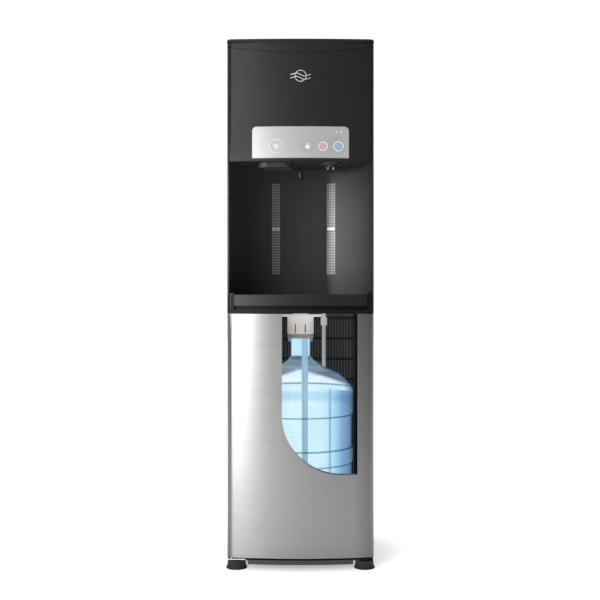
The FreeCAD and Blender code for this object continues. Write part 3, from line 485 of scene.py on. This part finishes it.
# which CAD nodes each material dresses
DRESSED = {
    "stainless": ["door_skin"],
    "plate_steel": ["control_plate"],
    "button_steel": ["ice_button", "lock_button", "hot_button", "cold_button"],
    "grid_steel": ["drip_grid"],
    "black_head": ["front_fascia", "header_panel", "top_cover"],
    "black_alcove": ["alcove_liner"],
    "black_satin": ["ledge_housing"],
    "black_gloss": ["drip_tray"],
    "black_matte": ["ice_chute", "chute_flap", "nozzle_flange", "power_gland", "auger_motor"],
    "black_steel": ["base_frame", "left_side_panel", "right_side_panel", "rear_panel"],
    "frame_grey": ["rear_frame"],
    "coil_black": ["condenser_coil"],
    "wire_grey": ["condenser_wires"],
    "grey_steel": ["mid_deck", "upper_deck"],
    "zinc": ["foot_studs", "hinge_brackets", "panel_screws"],
    "rubber_black": ["foot_pads", "riser_hose"],
    "rubber_grey": ["door_gasket"],
    "grey_plastic": ["door_liner"],
    "dark_liner": ["compartment_liner"],
    "white_plastic": ["water_pump", "ice_bin", "door_bushes", "ice_paddle"],
    "collar_white": ["probe_collar", "hose_fitting"],
    "band_grey": ["collar_seal"],
    "tube_grey": ["dip_tube"],
    "hose_white": ["suction_line", "bottle_hose"],
    "board_green": ["control_board"],
    "lens": ["indicator_lenses"],
    "emblem": ["emblem"],
    "nozzle_dark": ["hot_nozzle", "cold_nozzle"],
    "lamp": ["night_light"],
    "strip": ["ice_light_strip", "water_light_strip"],
    "tank_steel": ["cold_tank", "hot_tank"],
    "copper": ["evaporator_coil"],
    "enamel": ["compressor"],
    "cast_alu": ["freezing_head"],
    "mould": ["ice_tray"],
    "bottle": ["bottle"],
}


def dress(piece, material):
    """Gives a piece one material in all its slots."""
    if not piece.material_slots:
        piece.data.materials.append(material)
    for slot in piece.material_slots:
        slot.material = material


for mat_name, node_names in DRESSED.items():
    for node in node_names:
        dress(nodes[node], MATERIALS[mat_name])


# ---------- shapes for the detail pieces ----------
SINK = 0.0002                       # each piece starts this far under the surface it stands on
TINY = 1e-6


def build(name, parts, mat, body):
    """One object from (bmesh, matrix) parts, riding on a body."""
    whole = bmesh.new()
    for part, matrix in parts:
        part.transform(matrix)
        mesh = bpy.data.meshes.new("part")
        part.to_mesh(mesh)
        part.free()
        whole.from_mesh(mesh)
        bpy.data.meshes.remove(mesh)
    mesh = bpy.data.meshes.new(name)
    bmesh.ops.recalc_face_normals(whole, faces=whole.faces)
    whole.to_mesh(mesh)
    whole.free()
    mesh.shade_smooth()
    mesh.set_sharp_from_angle(angle=math.radians(35))
    piece = bpy.data.objects.new(name, mesh)
    mesh.materials.append(MATERIALS[mat])
    bpy.context.collection.objects.link(piece)
    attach(piece, body)


def prism(points, depth, edge=0.00015):
    """Flat shape from (x, y) points with an eased edge, standing depth proud."""
    shape = bmesh.new()
    count = len(points)
    mid_x = sum(x for x, _ in points) / count
    mid_y = sum(y for _, y in points) / count
    rows = []
    for inset, height in ((0, -SINK), (0, depth - edge), (edge, depth)):
        row = []
        for x, y in points:
            reach = math.hypot(x - mid_x, y - mid_y) or 1.0
            k = 1 - inset / reach
            row.append(shape.verts.new((mid_x + (x - mid_x) * k, mid_y + (y - mid_y) * k, height)))
        rows.append(row)
    for lower, upper in zip(rows, rows[1:]):
        for i in range(count):
            j = (i + 1) % count
            shape.faces.new((lower[i], lower[j], upper[j], upper[i]))
    shape.faces.new(list(reversed(rows[0])))
    shape.faces.new(rows[-1])
    return shape


def lathe(profile, steps, sweep=360.0):
    """Surface of revolution about Z from (radius, height) points; closed all round when sweep is 360."""
    shape = bmesh.new()
    count = steps if sweep >= 360 else steps + 1
    rows = []
    for radius, height in profile:
        row = []
        for i in range(count):
            angle = math.radians(sweep * i / steps)
            row.append(shape.verts.new((radius * math.cos(angle), radius * math.sin(angle), height)))
        rows.append(row)
    for lower, upper in zip(rows, rows[1:]):
        for i in range(steps):
            j = (i + 1) % count
            shape.faces.new((lower[i], lower[j], upper[j], upper[i]))
    bmesh.ops.remove_doubles(shape, verts=shape.verts, dist=TINY / 10)
    return shape


def band_ring(r_out, r_in, depth, steps=48):
    """Flat ring with eased edges."""
    edge = (r_out - r_in) * 0.3
    outer = [(r_out, -SINK), (r_out, depth - edge), (r_out - edge, depth)]
    inner = [(r_in + edge, depth), (r_in, depth - edge), (r_in, -SINK)]
    return lathe(outer + inner + outer[:1], steps)


def dome(radius, height, steps, rows=4):
    profile = [(radius, -SINK)]
    for k in range(rows + 1):
        angle = math.radians(90 * k / rows)
        profile.append((max(radius * math.cos(angle), TINY), height * math.sin(angle)))
    return lathe(profile, steps)


def on_circle(radius, degrees):
    angle = math.radians(degrees)
    return radius * math.cos(angle), radius * math.sin(angle)


def rectangle(x0, y0, x1, y1):
    return [(x0, y0), (x1, y0), (x1, y1), (x0, y1)]


def moved(points, dx, dy=0.0):
    return [(x + dx, y + dy) for x, y in points]


def bar(x0, y0, x1, y1, width):
    """Straight stroke with round ends, as outline points."""
    angle = math.degrees(math.atan2(y1 - y0, x1 - x0))
    points = []
    for end_x, end_y, turn in ((x1, y1, -90), (x0, y0, 90)):
        end = [on_circle(width / 2, angle + turn + 30 * k) for k in range(7)]
        points += moved(end, end_x, end_y)
    return points


def drop_outline(radius, steps=24):
    """Water drop: round below, pointed above."""
    points = []
    for k in range(steps):
        angle = 2 * math.pi * k / steps
        top = max(0.0, math.sin(angle))
        x = radius * math.cos(angle) * (1 - 0.75 * top ** 3)
        points.append((x, radius * (math.sin(angle) * 1.25 + 0.15 * top)))
    return points


def cube_strokes(radius, width):
    """Ice cube seen from a corner: a hexagon and its three inner edges."""
    corners = [on_circle(radius, 90 - 60 * k) for k in range(6)]
    strokes = [bar(*corners[k], *corners[(k + 1) % 6], width) for k in range(6)]
    strokes += [bar(0, 0, *corners[k], width) for k in (1, 3, 5)]
    return strokes


def padlock_strokes():
    """Closed case with a half-round shackle."""
    shackle_r = 0.0034
    arc = [on_circle(shackle_r, degrees) for degrees in range(0, 181, 30)]
    arc = moved(arc, 0.0, 0.0030)
    case = rectangle(-0.0046, -0.0052, 0.0046, 0.0020)
    return [case] + [bar(*start, *end, 0.0013) for start, end in zip(arc, arc[1:])]


def star_strokes(radius, width):
    """Three bars crossed in the middle."""
    return [bar(*on_circle(radius, turn + 180), *on_circle(radius, turn), width) for turn in (30, 90, 150)]


def mark(name, strokes, surface, x, z, mat, body, depth=0.0005):
    spot = facing(surface, x, z)
    build(name, [(prism(points, depth), spot) for points in strokes], mat, body)


# ---------- dots and marks on the two light strips ----------
DOT_COLUMNS = 4
DOT_ROWS = 34
DOT_R = 0.0016
DOT_HEIGHT = 0.0004
MARK_GAP = 0.0075                   # the dots keep this far above and below the middle of the mark
CUBE_MARK = cube_strokes(0.0046, 0.0011)
DROP_MARK = [drop_outline(0.0034)]
STRIP_MARKS = {
    "ice": (CUBE_MARK, (-0.0058, 0.0058)),
    "water": (DROP_MARK, (-0.0072, 0.0, 0.0072)),
}


def light_strip(label):
    lo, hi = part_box(label + "_light_strip")
    surface = surface_of(label + "_light_strip")
    step_x = (hi.x - lo.x) / DOT_COLUMNS
    step_z = (hi.z - lo.z) / DOT_ROWS
    mark_z = (lo.z + hi.z) / 2
    dots = []
    for row in range(DOT_ROWS):
        z = lo.z + step_z * (row + 0.5)
        if abs(z - mark_z) < MARK_GAP:
            continue
        for column in range(DOT_COLUMNS):
            x = lo.x + step_x * (column + 0.5)
            dots.append((dome(DOT_R, DOT_HEIGHT, 8), facing(surface, x, z)))
    build(label + "_strip_dots", dots, "dot_light", "cabinet")
    shape, offsets = STRIP_MARKS[label]
    strokes = [moved(stroke, dx) for dx in offsets for stroke in shape]
    mid_x = (lo.x + hi.x) / 2
    mark(label + "_strip_mark", strokes, surface, mid_x, mark_z, "strip_mark", "cabinet")


light_strip("ice")
light_strip("water")

# ---------- rings and marks on the buttons, with a painted glow ---
CAP_INSET = 0.0016                  # a button's rim, behind the plate, is this much wider than its cap
CAP_RING = (-0.0007, -0.0026)       # how far a ring's outer and inner edge lie past the cap's edge
CAP_RING_DEPTH = 0.0013
PLATE_RING = (0.0028, 0.0010)       # the same for the ring round the ice button, on the plate
PLATE_RING_DEPTH = 0.0007
PLATE_SPOT = 0.0020                 # the plate is felt this far outside the cap
OFF_SEAM = 0.0001                   # a ray this far off the middle misses the seam there


def cap_radius(node):
    lo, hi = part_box(node)
    return (hi.z - lo.z) / 2 - CAP_INSET


def button_mark(node, strokes, mat, body):
    middle = centre_of(node)
    mark(node + "_mark", strokes, surface_of(node), middle.x, middle.z, mat, body)


def button_ring(node, spot, radii, depth, body):
    outer, inner = (cap_radius(node) + past_cap for past_cap in radii)
    build(node + "_ring", [(band_ring(outer, inner, depth), spot)], "mark_white", body)


DROP_KEYS = (("hot_button", "hot_key", "mark_red"), ("cold_button", "cold_key", "mark_blue"))
for node, body, _ in DROP_KEYS:
    middle = centre_of(node)
    spot = facing(surface_of(node), middle.x - OFF_SEAM, middle.z)
    button_ring(node, spot, CAP_RING, CAP_RING_DEPTH, body)
middle = centre_of("ice_button")
spot = facing(surface_of("control_plate"), middle.x + cap_radius("ice_button") + PLATE_SPOT, middle.z)
spot.translation.x = middle.x
button_ring("ice_button", spot, PLATE_RING, PLATE_RING_DEPTH, "cabinet")

button_mark("ice_button", cube_strokes(0.0052, 0.0014), "mark_white", "ice_key")
wide_drop = [(x * 1.15, y - 0.0004) for x, y in drop_outline(0.0058)]
for node, body, mat in DROP_KEYS:
    button_mark(node, [wide_drop], mat, body)
button_mark("lock_button", padlock_strokes(), "mark_white", "lock_key")

# ---------- marks over the two indicator lenses, with a painted glow ---
LENS_INSET = 0.0019
lens_lo, lens_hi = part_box("indicator_lenses")
lens_z = (lens_lo.z + lens_hi.z) / 2
plate = surface_of("control_plate", "indicator_lenses")
for label, x in (("left", lens_lo.x + LENS_INSET), ("right", lens_hi.x - LENS_INSET)):
    strokes = star_strokes(0.0028, 0.0009)
    mark("indicator_mark_" + label, strokes, plate, x, lens_z, "mark_white", "cabinet")

# ---------- the night light's pane ----------
PANE_WIDTH = 0.36                   # shares of the lamp's width and height
PANE_HEIGHT = 0.72
PANE_ACROSS = 0.34
lamp_lo, lamp_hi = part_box("night_light")
lamp_w = lamp_hi.x - lamp_lo.x
half_w = lamp_w * PANE_WIDTH / 2
half_h = (lamp_hi.z - lamp_lo.z) * PANE_HEIGHT / 2
pane = rectangle(-half_w, -half_h, half_w, half_h)
pane_x = lamp_lo.x + lamp_w * PANE_ACROSS
pane_z = centre_of("night_light").z
mark("night_light_pane", [pane], surface_of("night_light"), pane_x, pane_z,
     "lamp_pane", "cabinet")

# ---------- painted shade in the slots down the probe's collar ---
COLLAR_SLOT = rectangle(-0.0016, -0.012, 0.0016, 0.012)
COLLAR_SLOT_DEPTH = 0.0004
slot_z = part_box("probe_collar")[0].z + 0.0125
collar = surface_of("probe_collar")
for label, x in (("left", -0.0132), ("right", 0.0120)):
    mark("collar_slot_" + label, [COLLAR_SLOT], collar, x, slot_z,
         "slot_dark", "cabinet", COLLAR_SLOT_DEPTH)

# ---------- the light inside the bottle: a painted glow on the far half of its inner wall ---
water_shell = lathe([(r - WALL, z) for r, z in PROFILE], 72, 180.0)
water_place = Matrix.Translation((0, BOTTLE_Y, 0))
build("water_light", [(water_shell, water_place)], "water", "cabinet")

# ---------- camera ----------
FRONT_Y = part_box("drip_tray")[0].y
CAMERA_BACK = 2.300
CAMERA_Z = 0.643
LENS_MM = 58.24
cam_data = bpy.data.cameras.new("camera")
cam = bpy.data.objects.new("camera", cam_data)
bpy.context.collection.objects.link(cam)
cam.location = (0.0, FRONT_Y - CAMERA_BACK, CAMERA_Z)
cam.rotation_euler = (math.radians(90), 0, 0)
cam_data.sensor_width = 36.0
cam_data.lens = LENS_MM
cam_data.shift_x = -0.0009
cam_data.shift_y = 0.0008
bpy.context.scene.camera = cam


# ---------- stage ----------
def floor_mat():
    """Pale paper with a painted glow of its own: weaker near the object, so that a soft shadow stays at its
    feet, and weaker towards the front.
    """
    material, graph, bsdf = new_mat("floor")
    cloud = remap(graph, noise(graph, 3.0, 3.0), 0, 1)
    graph.links.new(mix_color(graph, cloud, grey(0.90), grey(0.93)), bsdf.inputs["Base Color"])
    graph.links.new(remap(graph, noise(graph, 20.0, 2.0), 0.75, 0.85), bsdf.inputs["Roughness"])
    bsdf.inputs["Specular IOR Level"].default_value = 0.1
    bsdf.inputs["Emission Color"].default_value = (1, 1, 1, 1)
    coordinate = graph.nodes.new("ShaderNodeTexCoord")
    distance = graph.nodes.new("ShaderNodeVectorMath")
    distance.operation = "LENGTH"
    graph.links.new(coordinate.outputs["Object"], distance.inputs[0])
    outward = remap(graph, distance.outputs["Value"], 0.40, 0.95, 0.15, 0.50)
    backward = remap(graph, xyz(graph, "Object")[1], 0.3, 1.0, -1.10, -0.42)
    graph.links.new(math_node(graph, "MULTIPLY", outward, backward), bsdf.inputs["Emission Strength"])
    bump(graph, bsdf, noise(graph, 200.0, 2.0), 0.02, 0.0001)
    return material


def add_floor():
    mesh = bpy.data.meshes.new("floor")
    corners = [(x, y, 0) for x, y in rectangle(-12, -8, 12, 14)]
    mesh.from_pydata(corners, [], [(0, 1, 2, 3)])
    mesh.materials.append(floor_mat())
    floor = bpy.data.objects.new("floor", mesh)
    bpy.context.collection.objects.link(floor)


def area(name, place, target, size, power, size_y=None, spread=180):
    """Area light that looks from its place at a target; a size_y makes it a rectangle."""
    light = bpy.data.lights.new(name, "AREA")
    light.energy = power
    light.size = size
    light.spread = math.radians(spread)
    if size_y:
        light.shape = "RECTANGLE"
        light.size_y = size_y
    lamp = bpy.data.objects.new(name, light)
    lamp.location = place
    direction = Vector(target) - Vector(place)
    lamp.rotation_euler = direction.to_track_quat("-Z", "Y").to_euler()
    bpy.context.collection.objects.link(lamp)


SKY_BACK = 1.05                     # strength behind the object
SKY_FRONT = 0.9                     # strength of the greys in front of it
SKY_TURNS = (0.20, 0.75)            # where front turns to back, as the Y of a direction
# greys in front, from the far left at 0 to the far right at 1
SKY_GREYS = [(0.00, 0.22), (0.10, 0.30), (0.20, 1.0), (0.38, 1.0), (0.46, 0.50), (0.52, 0.32), (0.65, 0.12),
             (0.75, 0.03), (1.00, 0.05)]


def sky():
    """White behind the object; in front, bright at the left and dark at the right."""
    world = bpy.data.worlds.new("studio")
    bpy.context.scene.world = world
    world.use_nodes = True
    graph = world.node_tree
    graph.nodes.clear()
    out = graph.nodes.new("ShaderNodeOutputWorld")
    background = graph.nodes.new("ShaderNodeBackground")
    x, y, _ = xyz(graph, "Generated")
    across = remap(graph, x, 0.0, 1.0, -1.0, 1.0)
    front = ramp(graph, across, [(position, grey(value)) for position, value in SKY_GREYS])
    behind = graph.nodes.new("ShaderNodeMapRange")
    behind.interpolation_type = "SMOOTHSTEP"
    behind.inputs["From Min"].default_value, behind.inputs["From Max"].default_value = SKY_TURNS
    graph.links.new(y, behind.inputs["Value"])
    strength = graph.nodes.new("ShaderNodeMix")
    strength.inputs["B"].default_value = SKY_BACK
    graph.links.new(behind.outputs["Result"], strength.inputs["Factor"])
    graph.links.new(math_node(graph, "MULTIPLY", front, SKY_FRONT), strength.inputs["A"])
    graph.links.new(strength.outputs["Result"], background.inputs["Strength"])
    background.inputs["Color"].default_value = (1, 1, 1, 1)
    graph.links.new(background.outputs["Background"], out.inputs["Surface"])


add_floor()
area("key", (-1.42, -2.62, 1.15), (0.0, 0.0, 0.60), size=0.98, power=45, size_y=2.2)
area("side", (-1.55, -1.05, 0.86), (0.195, 0.05, 0.80), size=0.12, power=0.34, size_y=0.25, spread=10)
area("top", (0.0, -0.4, 3.2), (0.0, 0.0, 0.0), size=2.4, power=26)
sky()
bpy.context.scene.view_settings.view_transform = "Standard"
